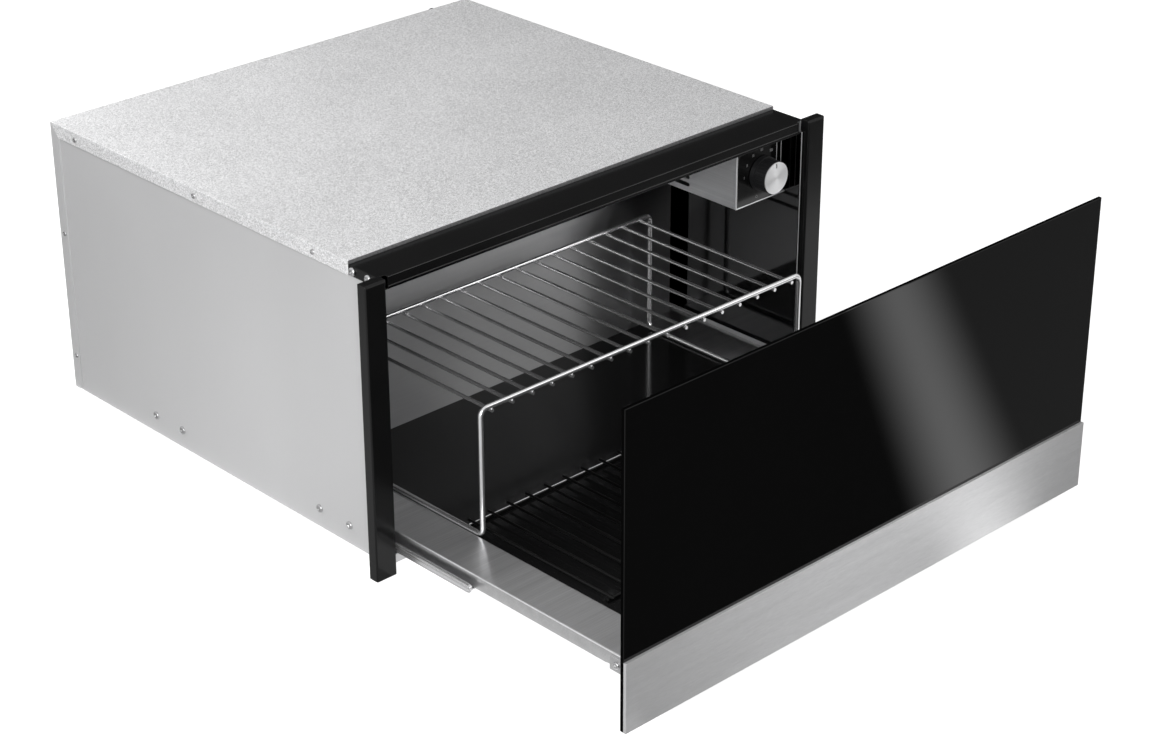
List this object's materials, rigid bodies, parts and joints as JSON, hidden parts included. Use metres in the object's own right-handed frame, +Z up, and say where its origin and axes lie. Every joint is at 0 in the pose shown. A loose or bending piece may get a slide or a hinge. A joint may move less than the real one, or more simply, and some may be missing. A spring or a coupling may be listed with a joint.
{
  "type": "warming drawer",
  "caption": "Sheet-metal warming drawer, half open: black glass front with a stainless foot strip, chrome plate rack on a black floor, thermostat knob inside.",
  "frame": {"origin": "on the ground under the middle of the whole part's box, with the drawer at its rest opening of 312 mm", "axes": "+X to the right seen from the door, the side with the knob; +Y to the back, so the drawer opens along -Y; +Z up"},
  "size_m": [0.594, 0.8302, 0.296],
  "materials": {
    "cover_zinc": "spangled galvanised sheet",
    "side_sheet": "plain grey sheet, satin",
    "inner_zinc": "zinc plated, dull",
    "frame_black": "satin black paint",
    "liner_steel": "mirror polished stainless",
    "wool": "mineral wool and felt",
    "stainless": "brushed stainless",
    "fascia_black": "gloss black",
    "white_plastic": "moulded",
    "aluminium": "mill finish",
    "motor_steel": "dark grey",
    "black_plastic": "moulded, satin",
    "gland_rubber": "matte",
    "spun_aluminium": "turned in fine rings",
    "screw_steel": "bright plated",
    "slide_bright": "bright zinc",
    "floor_black": "gloss black",
    "front_glass": "polished black glass",
    "rack_chrome": "bright chrome wire",
    "rack_black": "gloss black coated wire"
  },
  "bodies": {
    "cabinet": {"top_cover": "cover_zinc", "side_panel_left": "side_sheet", "side_panel_right": "side_sheet", "rear_panel": "side_sheet", "base_pan": "inner_zinc", "post_left": "frame_black", "post_right": "frame_black", "top_rail": "frame_black", "liner_left": "liner_steel", "liner_right": "liner_steel", "liner_back": "liner_steel", "liner_ceiling": "liner_steel", "cavity_floor": "liner_steel", "felt_left": "wool", "felt_right": "wool", "insulation_top": "wool", "insulation_back": "wool", "insulation_base": "wool", "control_box": "stainless", "control_fascia": "fascia_black", "thermostat": "white_plastic", "heater": "aluminium", "fan_motor": "motor_steel", "thermal_cutout": "white_plastic", "terminal_block": "white_plastic", "wiring_loom": "black_plastic", "cord_gland": "gland_rubber", "latch_body": "black_plastic", "slide_outer_left": "inner_zinc", "slide_outer_right": "inner_zinc", "cover_screws": "screw_steel", "rail_screws": "screw_steel", "rear_screws": "screw_steel", "slide_screws": "screw_steel", "feet": "gland_rubber"},
    "drawer": {"drawer_side_left": "stainless", "drawer_side_right": "stainless", "drawer_pan": "inner_zinc", "floor_plate": "floor_black", "drawer_rear_wall": "liner_steel", "slide_inner_left": "inner_zinc", "slide_inner_right": "inner_zinc", "door_inner_panel": "stainless", "glass_front": "front_glass", "trim_strip": "stainless", "door_brackets": "inner_zinc", "bracket_screws": "screw_steel", "table_rack": "rack_chrome", "rack_cross_wires": "rack_chrome", "base_rack": "rack_black", "latch_striker": "stainless"},
    "slide_middle_left": {"slide_middle_left": "slide_bright"},
    "slide_middle_right": {"slide_middle_right": "slide_bright"},
    "knob": {"knob": "black_plastic", "knob_cap": "spun_aluminium", "thermostat_shaft": "stainless"},
    "fan": {"fan_wheel": "aluminium"},
    "plunger": {"latch_plunger": "white_plastic"}
  },
  "joints": [
    {"name": "drawer_slide", "type": "slide", "parent": "cabinet", "child": "drawer", "axis": [0, -1, 0], "range_m": [-0.312, 0.096]},
    {"name": "slide_left", "type": "slide", "parent": "cabinet", "child": "slide_middle_left", "axis": [0, -1, 0], "range_m": [-0.156, 0.048]},
    {"name": "slide_right", "type": "slide", "parent": "cabinet", "child": "slide_middle_right", "axis": [0, -1, 0], "range_m": [-0.156, 0.048]},
    {"name": "knob_turn", "type": "hinge", "parent": "cabinet", "child": "knob", "pos_m": [0.2254, -0.08765, 0.2387], "axis": [0, 1, 0], "range_deg": [0, 270]},
    {"name": "fan_spin", "type": "hinge", "parent": "cabinet", "child": "fan", "pos_m": [0.221, 0.06815, 0.2432], "axis": [1, 0, 0], "continuous": true},
    {"name": "latch_press", "type": "slide", "parent": "cabinet", "child": "plunger", "axis": [0, 1, 0], "range_m": [0, 0.004], "stiffness_N_per_m": 500}
  ],
  "couplings": [
    {"joint": "slide_left", "follows": "drawer_slide", "ratio": 0.5},
    {"joint": "slide_right", "follows": "drawer_slide", "ratio": 0.5}
  ]
}
